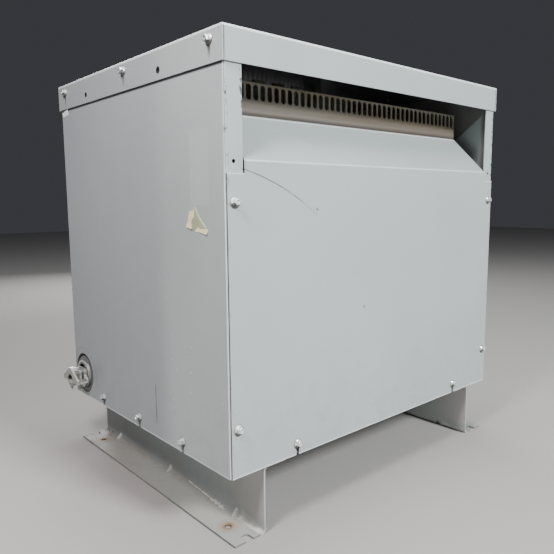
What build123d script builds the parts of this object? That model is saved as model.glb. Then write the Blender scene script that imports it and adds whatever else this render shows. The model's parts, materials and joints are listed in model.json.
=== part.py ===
from build123d import *
import os

os.makedirs("parts", exist_ok=True)

# All sizes are millimetres. The front faces -Y, +X is to the right, and the feet stand on z = 0.

# Enclosure
body_width = 610.0
body_depth = 478.0
body_height = 544.4
foot_height = 95.0
sheet = 1.6
bend_radius = 2.4
half_width = body_width / 2
half_depth = body_depth / 2
body_bottom = foot_height
body_top = body_bottom + body_height

# Lid: it clears the side panels by a hair and hangs over the front and rear
lid_flange = 41.0
lid_side_clearance = 0.3
lid_front_clearance = 1.0
lid_rear_clearance = 3.4
lid_seam = 1.2
lid_corner_radius = 2.6
lid_half_width = half_width + lid_side_clearance + sheet
lid_front = -half_depth - lid_front_clearance - sheet
lid_rear = half_depth + lid_rear_clearance + sheet
lid_top = body_top + sheet
lid_screw_inset = 23.5
lid_screw_pitch = half_depth - lid_screw_inset
lid_screw_drop = 13.5
lid_screw_hole_radius = 2.8
lid_spare_hole_radius = 3.2
lid_spare_hole_drop = 28.5
lid_spare_hole_front_inset = 141.0
lid_spare_hole_rear_inset = 108.0

# Side panels: one flat sheet each, folded inwards along the front and rear edges
corner_flange = 27.0
flange_hole_radius = 2.6
flange_hole_inset = 13.5
screw_slot_width = 5.5
screw_height = 16.0
screw_pilot_radius = 2.4
side_screw_inset = 114.5
side_screw_pitch = half_depth - side_screw_inset
side_screw_shift = -4.0

# Front and rear panels: a face, a 45 degree slope and a slotted vent strip from one sheet
panel_edge_inset = 2.4
panel_half_width = half_width - panel_edge_inset
outlet_height = 165.4
ear_step = 15.5
panel_ear_top = body_top - outlet_height
panel_bend_height = panel_ear_top + ear_step
panel_neck_inset = 29.0
panel_neck_half_width = half_width - panel_neck_inset
slope_run = 65.1
slope_rise = 63.1
strip_drop = 42.4
strip_top = body_top - strip_drop
slope_return = 9.0
panel_screw_inset = 13.0
panel_bottom_screw_inset = 112.5
panel_screw_pitch = 2 * (half_width - panel_bottom_screw_inset)
panel_screw_shift = 1.5
panel_screw_rise = 63.0
panel_screw_drop = 34.0
panel_screw_low = body_bottom + panel_screw_rise
panel_screw_high = panel_ear_top - panel_screw_drop
panel_screw_hole_radius = 3.0
flange_hole_rise = 14.0
flange_hole_height = panel_ear_top + flange_hole_rise
vent_pitch = 12.4
vent_count = 2 * int(panel_neck_half_width / vent_pitch)
vent_width = 8.8
vent_length = 20.5
vent_end_sides = 12
vent_margin = 2.2

# Base pan: a folded tray that the panels are screwed to, open in the middle for air
pan_sheet = 2.0
pan_flange = 30.0
pan_half_width = half_width - sheet
pan_half_depth = half_depth - sheet
pan_bend = 3.5
pan_opening_width = 160.0
pan_opening_end_inset = 67.4
pan_opening_depth = 2 * (pan_half_depth - pan_opening_end_inset)
pan_opening_offset = 100.0
pan_opening_corner = 12.0
pan_notch_margin = 4.0

# Feet: one bent plate each, flange out at the floor and in under the pan
foot_plate = 3.0
foot_inset = 55.5
foot_flange = 49.2
foot_top_flange = 35.0
foot_bend = 6.5
foot_end_inset = 1.5
foot_half_length = half_depth - foot_end_inset
foot_web = half_width - foot_inset
foot_hole_radius = 4.6
foot_hole_inset = 27.6
foot_hole_end_inset = 43.5
foot_hole_pitch = 2 * (foot_half_length - foot_hole_end_inset)
foot_notch_width = 12.5
foot_notch_depth = 14.0
foot_notch_inset = 30.5
dart_rise = 14.0
dart_run = 12.0
dart_width = 19.0
dart_height = 11.5
dart_ridge_radius = 1.8
dart_end_inset = 59.5
dart_pitch = foot_half_length - dart_end_inset

# Core: three legs between two yokes, held by four channel clamps
core_depth = 110.0
leg_width = 85.0
window_width = 95.0
window_height = 240.0
yoke_height = 85.0
leg_pitch = leg_width + window_width
core_width = 3 * leg_width + 2 * window_width
clamp_plate = 5.0
clamp_flange = 40.0
clamp_overhang = 8.0
clamp_length = core_width + 2 * clamp_overhang
support_width = 50.0
support_height = 38.0
support_length = 300.0
support_offset = 215.0
pad_radius = 18.0
pad_height = 12.0
support_bottom = body_bottom + pan_sheet
pad_bottom = support_bottom + support_height
core_bottom = pad_bottom + pad_height
leg_bottom = core_bottom + yoke_height
leg_top = leg_bottom + window_height
core_top = leg_top + yoke_height
pad_offset = core_depth / 2 + clamp_flange / 2

# Coils: an inner and an outer winding on each leg, with an air duct between them
coil_clearance = 3.0
winding_thickness = 14.0
duct_width = 8.0
coil_end_gap = 10.0
coil_height = window_height - 2 * coil_end_gap
coil_corner = 5.0
inner_bore_x = leg_width + 2 * coil_clearance
inner_bore_y = core_depth + 2 * coil_clearance
inner_outer_x = inner_bore_x + 2 * winding_thickness
inner_outer_y = inner_bore_y + 2 * winding_thickness
outer_bore_x = inner_outer_x + 2 * duct_width
outer_bore_y = inner_outer_y + 2 * duct_width
outer_outer_x = outer_bore_x + 2 * winding_thickness
outer_outer_y = outer_bore_y + 2 * winding_thickness
outer_corner = coil_corner + winding_thickness
stick_thickness = 7.0
stick_spacing = 34.0
block_width = 46.0
block_depth = 30.0

# Terminals: three flat bars on an insulating board over the front clamp
board_thickness = 6.0
board_width = 150.0
board_centre = -100.0
board_front = -core_depth / 2 - clamp_flange - board_thickness
board_foot = core_top - clamp_plate
bar_thickness = 4.0
bar_width = 22.0
bar_pitch = 39.0
bar_centre = -101.0
bar_headroom = 20.0
bar_top = body_top - bar_headroom
bar_overreach = 5.4
board_height = bar_top - bar_overreach - board_foot
bar_jog_drop = 4.0
bar_jog_height = leg_top - bar_jog_drop
bar_foot_height = 40.0

# Cable entry low at the rear of the left side panel
entry_rear_inset = 41.0
entry_rise = 41.7
entry_hole_radius = 35.0
ring_clearance = 0.8
ring_drop = 1.8
ring_sink = 0.8
ring_bore = 21.5
ring_groove_radius = 29.5
ring_groove_width = 1.2
ring_groove_depth = 0.9
tab_width = 5.0
tab_length = 3.0
tab_clearance = 0.1
washer_radius = 26.0
washer_bore = 18.6
washer_sheet = 1.4
washer_rise = 2.6
washer_rim = 1.8

# Cable connector: it hangs in the washers' bore; its strap is closed and its two screws stand loose
hub_radius = 13.2
hub_inside = 16.0
hub_bore = 8.7
shoulder_radius = 18.0
shoulder_length = 3.0
cradle_radius = 12.5
cradle_bore = 9.0
cradle_length = 21.0
ear_reach = 29.7
ear_thickness = 3.8
ear_corner = 2.0
strap_gap = 0.5
strap_play = 0.4
strap_edge = 2.8
strap_ridge = 20.0
strap_ridge_half_width = 3.0
strap_ridge_radius = 4.0
pocket_length = 13.0
pocket_wall = 2.2
pocket_floor = 1.8
pocket_corner = 2.5
ear_screw_offset = 21.5
screw_bore = 2.6
screw_clearance = 0.05
screw_head_radius = 5.6
screw_head_height = 4.8
screw_length = 36.0
front_screw_standoff = 17.0
rear_screw_standoff = 9.0
locknut_radius = 17.5
locknut_thickness = 3.6
locknut_lugs = 6
lug_width = 6.0
lug_depth = 4.0
thread_clearance = 0.05

entry_y = half_depth - entry_rear_inset
entry_z = body_bottom + entry_rise
ring_z = entry_z - ring_drop
ring_outer_face = -half_width + ring_sink
ring_inner_face = ring_outer_face + sheet
connector_z = ring_z - (washer_bore - hub_radius - thread_clearance)
shoulder_face = ring_outer_face - washer_rise - washer_sheet
nut_face = ring_inner_face + washer_rise + washer_sheet
cradle_start = shoulder_face - shoulder_length
cradle_end = cradle_start - cradle_length
hub_end = -half_width + hub_inside
clamp_x = (cradle_start + cradle_end) / 2
ear_top = connector_z - strap_gap / 2
strap_foot = connector_z + strap_gap / 2
pocket_bottom = strap_foot + pocket_floor

# Lid
with BuildPart() as lid:
    with BuildSketch(Plane.XY.offset(lid_top - lid_flange)):
        with Locations((0, (lid_front + lid_rear) / 2)):
            Rectangle(2 * lid_half_width, lid_rear - lid_front)
    extrude(amount=lid_flange)
    fillet(lid.faces().sort_by(Axis.Z)[-1].edges(), lid_corner_radius)
    with BuildSketch(Plane.XY.offset(lid_top - lid_flange)):
        with Locations((0, (lid_front + lid_rear) / 2)):
            Rectangle(2 * (lid_half_width - sheet), lid_rear - lid_front - 2 * sheet)
    extrude(amount=lid_flange - sheet, mode=Mode.SUBTRACT)
    with Locations((0, 0, lid_top - lid_flange)):
        with Locations(
            (lid_half_width - sheet - lid_seam / 2, lid_front + sheet / 2),
            (-lid_half_width + sheet + lid_seam / 2, lid_front + sheet / 2),
            (lid_half_width - sheet - lid_seam / 2, lid_rear - sheet / 2),
            (-lid_half_width + sheet + lid_seam / 2, lid_rear - sheet / 2),
        ):
            Box(lid_seam, sheet, 2 * (lid_flange - lid_corner_radius), mode=Mode.SUBTRACT)
    with BuildSketch(Plane.YZ):
        with Locations(
            (-half_depth + lid_spare_hole_front_inset, lid_top - lid_spare_hole_drop),
            (half_depth - lid_spare_hole_rear_inset, lid_top - lid_spare_hole_drop),
        ):
            Circle(lid_spare_hole_radius)
        with Locations((0, lid_top - lid_screw_drop)):
            with GridLocations(lid_screw_pitch, 1, 3, 1):
                Circle(lid_screw_hole_radius)
    extrude(amount=body_width, both=True, mode=Mode.SUBTRACT)
lid.part.label = "lid"
export_step(lid.part, "parts/lid.step")

# Side panels; the left one has the knockout hole
for name, side in (("left", -1), ("right", 1)):
    with BuildPart() as side_panel:
        with BuildSketch(Plane.XY.offset(body_bottom)):
            with BuildLine():
                FilletPolyline(
                    (side * (half_width - corner_flange), -half_depth + sheet / 2),
                    (side * (half_width - sheet / 2), -half_depth + sheet / 2),
                    (side * (half_width - sheet / 2), half_depth - sheet / 2),
                    (side * (half_width - corner_flange), half_depth - sheet / 2),
                    radius=bend_radius,
                )
            trace(line_width=sheet)
        extrude(amount=body_height)
        with BuildSketch(Plane.YZ):
            with Locations((side_screw_shift, body_bottom)):
                with GridLocations(side_screw_pitch, 1, 3, 1):
                    SlotOverall(2 * screw_height + screw_slot_width, screw_slot_width, rotation=90)
            with Locations((0, lid_top - lid_screw_drop)):
                with GridLocations(lid_screw_pitch, 1, 3, 1):
                    Circle(lid_screw_hole_radius)
            with Locations(
                (-half_depth + lid_spare_hole_front_inset, lid_top - lid_spare_hole_drop),
                (half_depth - lid_spare_hole_rear_inset, lid_top - lid_spare_hole_drop),
            ):
                Circle(lid_spare_hole_radius)
            if name == "left":
                with Locations((entry_y, entry_z)):
                    Circle(entry_hole_radius)
        extrude(amount=body_width, both=True, mode=Mode.SUBTRACT)
        with BuildSketch(Plane.XZ):
            with Locations((side * (half_width - flange_hole_inset), flange_hole_height)):
                Circle(flange_hole_radius)
            with Locations(
                (side * (half_width - panel_screw_inset), panel_screw_low),
                (side * (half_width - panel_screw_inset), panel_screw_high),
            ):
                Circle(screw_pilot_radius)
        extrude(amount=body_depth, both=True, mode=Mode.SUBTRACT)
    side_panel.part.label = name + "_side_panel"
    export_step(side_panel.part, "parts/" + name + "_side_panel.step")

# Front panel: ears over the corner flanges, a neck that passes between them, slope and vent strip
face_y = -half_depth - sheet / 2
strip_y = face_y + slope_run
slope_top = panel_bend_height + slope_rise
return_setback = 2 * sheet
vent_centre = strip_top - vent_margin - vent_length / 2
vent_run = vent_length - vent_width
vent_end_turn = 180 / vent_end_sides
with BuildPart() as front_panel:
    with BuildSketch(Plane.YZ):
        with BuildLine():
            FilletPolyline(
                (face_y, body_bottom),
                (face_y, panel_bend_height),
                (strip_y, slope_top),
                (strip_y, strip_top),
                radius=bend_radius,
            )
        trace(line_width=sheet)
    extrude(amount=panel_half_width, both=True)
    for side in (-1, 1):
        with Locations((side * (panel_neck_half_width + body_width / 2), 0, panel_ear_top + body_height / 2)):
            Box(body_width, 2 * body_depth, body_height, mode=Mode.SUBTRACT)
        # stiffening return folded down along each end of the slope
        with BuildSketch(Plane.YZ.offset(side * (panel_neck_half_width - sheet / 2))):
            with BuildLine():
                Polyline(
                    (face_y + return_setback, panel_bend_height + return_setback),
                    (strip_y - return_setback, slope_top - return_setback),
                    (strip_y - return_setback, slope_top - return_setback - slope_return),
                    (face_y + return_setback + slope_return, panel_bend_height + return_setback),
                    close=True,
                )
            make_face()
        extrude(amount=sheet / 2, both=True)
    with BuildSketch(Plane.XZ.offset(-strip_y)):
        with Locations((0, vent_centre)):
            with GridLocations(vent_pitch, 1, vent_count, 1):
                Rectangle(vent_width, vent_run)
            with GridLocations(vent_pitch, vent_run, vent_count, 2):
                RegularPolygon(vent_width / 2, vent_end_sides, major_radius=False, rotation=vent_end_turn)
    extrude(amount=2 * sheet, both=True, mode=Mode.SUBTRACT)
    with BuildSketch(Plane.XZ.offset(-face_y)):
        for side in (-1, 1):
            with Locations(
                (side * (half_width - panel_screw_inset), panel_screw_low),
                (side * (half_width - panel_screw_inset), panel_screw_high),
            ):
                Circle(panel_screw_hole_radius)
        with Locations((panel_screw_shift, body_bottom)):
            with GridLocations(panel_screw_pitch, 1, 2, 1):
                SlotOverall(2 * screw_height + screw_slot_width, screw_slot_width, rotation=90)
    extrude(amount=2 * sheet, both=True, mode=Mode.SUBTRACT)
front_panel.part.label = "front_panel"
export_step(front_panel.part, "parts/front_panel.step")

# Rear panel: the same sheet turned to face the rear
with BuildPart() as rear_panel:
    add(front_panel.part.rotate(Axis.Z, 180))
rear_panel.part.label = "rear_panel"
export_step(rear_panel.part, "parts/rear_panel.step")

# Base pan
with BuildPart() as base_pan:
    with BuildSketch(Plane.XY.offset(body_bottom)):
        Rectangle(2 * pan_half_width, 2 * pan_half_depth)
    extrude(amount=pan_flange)
    fillet(base_pan.faces().sort_by(Axis.Z)[0].edges(), pan_bend)
    with BuildSketch(Plane.XY.offset(body_bottom + pan_sheet)):
        Rectangle(2 * (pan_half_width - pan_sheet), 2 * (pan_half_depth - pan_sheet))
    extrude(amount=pan_flange, mode=Mode.SUBTRACT)
    with BuildSketch(Plane.XY.offset(body_bottom)):
        with Locations((-pan_opening_offset, 0), (pan_opening_offset, 0)):
            RectangleRounded(pan_opening_width, pan_opening_depth, pan_opening_corner)
    extrude(amount=pan_sheet, mode=Mode.SUBTRACT)
    # open corners, where the flanges are folded up
    with Locations((0, 0, body_bottom)):
        with GridLocations(2 * pan_half_width, 2 * pan_half_depth, 2, 2):
            Box(2 * pan_bend, 2 * pan_bend, 2 * pan_flange, mode=Mode.SUBTRACT)
    with Locations((-pan_half_width, entry_y, body_bottom + pan_sheet + pan_flange / 2)):
        Box(4 * pan_sheet, 2 * (entry_hole_radius + pan_notch_margin), pan_flange, mode=Mode.SUBTRACT)
    with BuildSketch(Plane.YZ):
        with Locations((side_screw_shift, body_bottom + screw_height)):
            with GridLocations(side_screw_pitch, 1, 3, 1):
                Circle(screw_pilot_radius)
    extrude(amount=body_width, both=True, mode=Mode.SUBTRACT)
    with BuildSketch(Plane.XZ.offset(half_depth)):
        with Locations((panel_screw_shift, body_bottom + screw_height)):
            with GridLocations(panel_screw_pitch, 1, 2, 1):
                Circle(screw_pilot_radius)
    extrude(amount=-half_depth, mode=Mode.SUBTRACT)
    with BuildSketch(Plane.XZ.offset(-half_depth)):
        with Locations((-panel_screw_shift, body_bottom + screw_height)):
            with GridLocations(panel_screw_pitch, 1, 2, 1):
                Circle(screw_pilot_radius)
    extrude(amount=half_depth, mode=Mode.SUBTRACT)
base_pan.part.label = "base_pan"
export_step(base_pan.part, "parts/base_pan.step")

# Dart: a gusset pushed out of the foot's bend, pointed up the web and out along the flange
dart_corner = (-foot_web + foot_plate / 2, 0, foot_plate / 2)
with BuildPart() as dart:
    with BuildSketch(Plane(origin=dart_corner, x_dir=(0, 1, 0), z_dir=(dart_run, 0, dart_rise))):
        with BuildLine():
            FilletPolyline((-dart_width / 2, 0), (0, dart_height), (dart_width / 2, 0), radius=dart_ridge_radius)
            Line((-dart_width / 2, 0), (dart_width / 2, 0))
        make_face()
    web_tip = Vertex(dart_corner[0], 0, foot_plate + dart_rise)
    flange_tip = Vertex(-foot_web - dart_run, 0, dart_corner[2])
    loft([flange_tip, dart.pending_faces[0], web_tip], ruled=True)

# Left foot: bent plate with pressed darts, bolt holes and end notches
with BuildPart() as left_foot:
    with BuildSketch(Plane.XZ.offset(foot_half_length)):
        with BuildLine():
            FilletPolyline(
                (-foot_web - foot_flange, foot_plate / 2),
                (-foot_web + foot_plate / 2, foot_plate / 2),
                (-foot_web + foot_plate / 2, foot_height - foot_plate / 2),
                (-foot_web + foot_plate + foot_top_flange, foot_height - foot_plate / 2),
                radius=foot_bend,
            )
        trace(line_width=foot_plate)
    extrude(amount=-2 * foot_half_length)
    with GridLocations(1, dart_pitch, 1, 3):
        add(dart.part)
    # the hollow behind each dart is the same shape, one plate's thickness further in
    with Locations((foot_plate, 0, -foot_plate)):
        with GridLocations(1, dart_pitch, 1, 3):
            add(dart.part, mode=Mode.SUBTRACT)
    with BuildSketch(Plane.XY):
        with Locations((-half_width + foot_hole_inset, 0)):
            with GridLocations(1, foot_hole_pitch, 1, 2):
                Circle(foot_hole_radius)
        with Locations((-half_width + foot_notch_inset, 0)):
            with GridLocations(1, 2 * foot_half_length, 1, 2):
                SlotOverall(2 * foot_notch_depth, foot_notch_width, rotation=90)
    extrude(amount=2 * foot_plate, mode=Mode.SUBTRACT)
left_foot.part.label = "left_foot"
export_step(left_foot.part, "parts/left_foot.step")

# Right foot, mirrored
with BuildPart() as right_foot:
    add(left_foot.part.mirror(Plane.YZ))
right_foot.part.label = "right_foot"
export_step(right_foot.part, "parts/right_foot.step")

# Support channels under the core, open side down on the pan
with BuildPart() as support_channels:
    with BuildSketch(Plane.XZ.offset(support_length / 2)):
        for side in (-1, 1):
            with BuildLine():
                FilletPolyline(
                    (side * support_offset - support_width / 2 + pan_sheet / 2, support_bottom),
                    (side * support_offset - support_width / 2 + pan_sheet / 2, pad_bottom - pan_sheet / 2),
                    (side * support_offset + support_width / 2 - pan_sheet / 2, pad_bottom - pan_sheet / 2),
                    (side * support_offset + support_width / 2 - pan_sheet / 2, support_bottom),
                    radius=bend_radius,
                )
            trace(line_width=pan_sheet)
    extrude(amount=-support_length)
support_channels.part.label = "support_channels"
export_step(support_channels.part, "parts/support_channels.step")

# Isolation pads between the channels and the clamps
with BuildPart() as isolation_pads:
    with BuildSketch(Plane.XY.offset(pad_bottom)):
        with GridLocations(2 * support_offset, 2 * pad_offset, 2, 2):
            Circle(pad_radius)
    extrude(amount=pad_height)
isolation_pads.part.label = "isolation_pads"
export_step(isolation_pads.part, "parts/isolation_pads.step")

# Core
with BuildPart() as core_bottom_yoke:
    with Locations((0, 0, core_bottom + yoke_height / 2)):
        Box(core_width, core_depth, yoke_height)
core_bottom_yoke.part.label = "core_bottom_yoke"
export_step(core_bottom_yoke.part, "parts/core_bottom_yoke.step")

with BuildPart() as core_top_yoke:
    with Locations((0, 0, leg_top + yoke_height / 2)):
        Box(core_width, core_depth, yoke_height)
core_top_yoke.part.label = "core_top_yoke"
export_step(core_top_yoke.part, "parts/core_top_yoke.step")

leg_middle_z = leg_bottom + window_height / 2
for name, position in (("left", -1), ("middle", 0), ("right", 1)):
    with BuildPart() as core_leg:
        with Locations((position * leg_pitch, 0, leg_middle_z)):
            Box(leg_width, core_depth, window_height)
    core_leg.part.label = "core_leg_" + name
    export_step(core_leg.part, "parts/core_leg_" + name + ".step")

    with BuildPart() as inner_winding:
        with BuildSketch(Plane.XY.offset(leg_bottom + coil_end_gap)):
            with Locations((position * leg_pitch, 0)):
                RectangleRounded(inner_outer_x, inner_outer_y, coil_corner + winding_thickness)
                RectangleRounded(inner_bore_x, inner_bore_y, coil_corner, mode=Mode.SUBTRACT)
        extrude(amount=coil_height)
    inner_winding.part.label = "inner_winding_" + name
    export_step(inner_winding.part, "parts/inner_winding_" + name + ".step")

    with BuildPart() as outer_winding:
        with BuildSketch(Plane.XY.offset(leg_bottom + coil_end_gap)):
            with Locations((position * leg_pitch, 0)):
                RectangleRounded(outer_outer_x, outer_outer_y, outer_corner + winding_thickness)
                RectangleRounded(outer_bore_x, outer_bore_y, outer_corner, mode=Mode.SUBTRACT)
        extrude(amount=coil_height)
    outer_winding.part.label = "outer_winding_" + name
    export_step(outer_winding.part, "parts/outer_winding_" + name + ".step")

# Duct sticks that hold the outer windings off the inner ones
with BuildPart() as duct_sticks:
    with BuildSketch(Plane.XY.offset(leg_bottom + coil_end_gap)):
        for position in (-1, 0, 1):
            with Locations((position * leg_pitch, 0)):
                with GridLocations(stick_spacing, inner_outer_y + duct_width, 3, 2):
                    Rectangle(stick_thickness, duct_width)
                with GridLocations(inner_outer_x + duct_width, stick_spacing, 2, 3):
                    Rectangle(duct_width, stick_thickness)
    extrude(amount=coil_height)
duct_sticks.part.label = "duct_sticks"
export_step(duct_sticks.part, "parts/duct_sticks.step")

# Blocks between the coil ends and the clamp flanges
block_y = (inner_bore_y + outer_outer_y) / 4
with BuildPart() as coil_blocks:
    for level in (leg_bottom, leg_top - coil_end_gap):
        with BuildSketch(Plane.XY.offset(level)):
            with GridLocations(leg_pitch, 2 * block_y, 3, 2):
                Rectangle(block_width, block_depth)
        extrude(amount=coil_end_gap)
coil_blocks.part.label = "coil_blocks"
export_step(coil_blocks.part, "parts/coil_blocks.step")

# Channel clamps along both yokes
for level, low, high in (("bottom", core_bottom, leg_bottom), ("top", leg_top, core_top)):
    for name, side in (("front", -1), ("rear", 1)):
        web_y = side * (core_depth / 2 + clamp_plate / 2)
        tip_y = side * (core_depth / 2 + clamp_flange)
        with BuildPart() as core_clamp:
            with BuildSketch(Plane.YZ):
                with BuildLine():
                    FilletPolyline(
                        (tip_y, low + clamp_plate / 2),
                        (web_y, low + clamp_plate / 2),
                        (web_y, high - clamp_plate / 2),
                        (tip_y, high - clamp_plate / 2),
                        radius=clamp_plate,
                    )
                trace(line_width=clamp_plate)
            extrude(amount=clamp_length / 2, both=True)
        core_clamp.part.label = "core_clamp_" + level + "_" + name
        export_step(core_clamp.part, "parts/core_clamp_" + level + "_" + name + ".step")

# Terminal board against the front edge of the top clamp
with BuildPart() as terminal_board:
    with Locations((board_centre, board_front + board_thickness / 2, board_foot + board_height / 2)):
        Box(board_width, board_thickness, board_height)
    fillet(terminal_board.edges().filter_by(Axis.Y), board_thickness / 2)
terminal_board.part.label = "terminal_board"
export_step(terminal_board.part, "parts/terminal_board.step")

# Terminal bars; the outer two are set back to meet the windings
bar_y = board_front - bar_thickness / 2
bar_foot_y = -outer_outer_y / 2 - bar_thickness / 2
for name, position in (("left", -1), ("middle", 0), ("right", 1)):
    with BuildPart() as terminal_bar:
        with BuildSketch(Plane.YZ.offset(bar_centre + position * bar_pitch - bar_width / 2)):
            with BuildLine():
                if name == "middle":
                    Line((bar_y, bar_top), (bar_y, board_foot))
                else:
                    FilletPolyline(
                        (bar_y, bar_top),
                        (bar_y, bar_jog_height),
                        (bar_foot_y, bar_jog_height - 2 * (bar_foot_y - bar_y)),
                        (bar_foot_y, bar_jog_height - 2 * (bar_foot_y - bar_y) - bar_foot_height),
                        radius=bar_thickness,
                    )
            trace(line_width=bar_thickness)
        extrude(amount=bar_width)
    terminal_bar.part.label = "terminal_bar_" + name
    export_step(terminal_bar.part, "parts/terminal_bar_" + name + ".step")

# Knockout ring, pushed in a little, dropped in its hole and held by its two tabs
with BuildPart() as knockout_ring:
    with BuildSketch(Plane.YZ.offset(ring_outer_face)):
        with Locations((entry_y, ring_z)):
            Circle(entry_hole_radius - ring_clearance - ring_drop)
            Circle(ring_bore, mode=Mode.SUBTRACT)
        with Locations((entry_y, entry_z)):
            with GridLocations(2 * (entry_hole_radius - tab_clearance) - tab_length, 1, 2, 1):
                Rectangle(tab_length, tab_width)
    extrude(amount=sheet)
    # the next knockout's cut, scored round the ring
    with BuildSketch(Plane.YZ.offset(ring_outer_face)):
        with Locations((entry_y, ring_z)):
            Circle(ring_groove_radius + ring_groove_width / 2)
            Circle(ring_groove_radius - ring_groove_width / 2, mode=Mode.SUBTRACT)
    extrude(amount=ring_groove_depth, mode=Mode.SUBTRACT)
knockout_ring.part.label = "knockout_ring"
export_step(knockout_ring.part, "parts/knockout_ring.step")

# Reducing washers, dished away from the ring, one on each side of it
ring_axis = Axis((0, entry_y, ring_z), (1, 0, 0))
for name, seat, out in (("outer", ring_outer_face, -1), ("inner", ring_inner_face, 1)):
    middle = seat + out * washer_sheet / 2
    with BuildPart() as reducing_washer:
        with BuildSketch(Plane.XZ.offset(-entry_y)):
            with BuildLine():
                Polyline(
                    (middle + out * washer_rise, ring_z + washer_bore),
                    (middle + out * washer_rise, ring_z + washer_radius - washer_rim),
                    (middle, ring_z + washer_radius),
                )
            trace(line_width=washer_sheet)
        revolve(axis=ring_axis)
    reducing_washer.part.label = name + "_reducing_washer"
    export_step(reducing_washer.part, "parts/" + name + "_reducing_washer.step")

# Connector body: threaded hub, shoulder, and a trough with a flat ear on each side
with BuildPart() as connector_body:
    with BuildSketch(Plane.YZ.offset(cradle_start)):
        with Locations((entry_y, connector_z)):
            Circle(hub_radius)
    extrude(amount=hub_end - cradle_start)
    with BuildSketch(Plane.YZ.offset(cradle_start)):
        with Locations((entry_y, connector_z)):
            Circle(shoulder_radius)
    extrude(amount=shoulder_length)
    with BuildSketch(Plane.YZ.offset(cradle_start)):
        with Locations((entry_y, connector_z)):
            Circle(hub_bore)
    extrude(amount=hub_end - cradle_start, mode=Mode.SUBTRACT)
    with BuildSketch(Plane.YZ.offset(cradle_end)):
        with Locations((entry_y, connector_z)):
            Circle(cradle_radius)
        with Locations((entry_y, ear_top - ear_thickness / 2)):
            Rectangle(2 * ear_reach, ear_thickness)
        with Locations((entry_y, ear_top + cradle_radius)):
            Rectangle(2 * ear_reach, 2 * cradle_radius, mode=Mode.SUBTRACT)
        with Locations((entry_y, connector_z)):
            Circle(cradle_bore, mode=Mode.SUBTRACT)
    extrude(amount=cradle_length)
    fillet(connector_body.edges().filter_by(Axis.Z), ear_corner)
    with BuildSketch(Plane.XY.offset(ear_top)):
        with Locations((clamp_x, entry_y)):
            with GridLocations(1, 2 * ear_screw_offset, 1, 2):
                Circle(screw_bore)
    extrude(amount=-ear_thickness, mode=Mode.SUBTRACT)
connector_body.part.label = "connector_body"
export_step(connector_body.part, "parts/connector_body.step")

# Connector strap: a roof over the cable, with a pocket round each screw
with BuildPart() as connector_strap:
    with BuildSketch(Plane.YZ.offset(cradle_end)) as strap_section:
        with BuildLine():
            Polyline(
                (entry_y - ear_reach, strap_foot),
                (entry_y - ear_reach, strap_foot + strap_edge),
                (entry_y - strap_ridge_half_width, connector_z + strap_ridge),
                (entry_y + strap_ridge_half_width, connector_z + strap_ridge),
                (entry_y + ear_reach, strap_foot + strap_edge),
                (entry_y + ear_reach, strap_foot),
                close=True,
            )
        make_face()
        fillet(strap_section.vertices().group_by(Axis.Y)[-1], strap_ridge_radius)
        with Locations((entry_y, connector_z)):
            Circle(cradle_bore, mode=Mode.SUBTRACT)
    extrude(amount=cradle_length - strap_play)
    with BuildSketch(Plane.XY.offset(pocket_bottom)):
        with Locations((clamp_x, entry_y)):
            with GridLocations(1, 2 * ear_screw_offset, 1, 2):
                RectangleRounded(pocket_length, 2 * (ear_reach - ear_screw_offset - pocket_wall), pocket_corner)
    extrude(amount=strap_ridge, mode=Mode.SUBTRACT)
    with BuildSketch(Plane.XY.offset(strap_foot)):
        with Locations((clamp_x, entry_y)):
            with GridLocations(1, 2 * ear_screw_offset, 1, 2):
                Circle(screw_bore)
    extrude(amount=strap_edge, mode=Mode.SUBTRACT)
connector_strap.part.label = "connector_strap"
export_step(connector_strap.part, "parts/connector_strap.step")

# Clamp screws, turned out of the ears so that their heads stand off the strap
with BuildPart() as connector_screws:
    for side, standoff in ((-1, front_screw_standoff), (1, rear_screw_standoff)):
        with BuildSketch(Plane.XY.offset(pocket_bottom + standoff)):
            with Locations((clamp_x, entry_y + side * ear_screw_offset)):
                RegularPolygon(screw_head_radius, 6)
        extrude(amount=screw_head_height)
        with BuildSketch(Plane.XY.offset(pocket_bottom + standoff)):
            with Locations((clamp_x, entry_y + side * ear_screw_offset)):
                Circle(screw_bore - screw_clearance)
        extrude(amount=-screw_length)
connector_screws.part.label = "connector_screws"
export_step(connector_screws.part, "parts/connector_screws.step")

# Connector locknut inside the panel
with BuildPart() as connector_locknut:
    with BuildSketch(Plane.YZ.offset(nut_face)):
        with Locations((entry_y, connector_z)):
            Circle(locknut_radius)
            with PolarLocations(locknut_radius, locknut_lugs):
                Rectangle(lug_depth, lug_width)
            Circle(hub_radius + thread_clearance, mode=Mode.SUBTRACT)
    extrude(amount=locknut_thickness)
connector_locknut.part.label = "connector_locknut"
export_step(connector_locknut.part, "parts/connector_locknut.step")
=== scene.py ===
# %% [markdown]
# # Dressing a dry-type transformer
# The CAD model already has the folded sheets, the feet, the core and coils and the cable connector, each at
# its real place. What it lacks is what makes them look real: paint with a history, plated screws, cast
# edges. This notebook adds those one at a time, and every cell prints what it made or measured.

import functools
import json
import math

import bmesh
import bpy
from mathutils import Matrix, Vector


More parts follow.
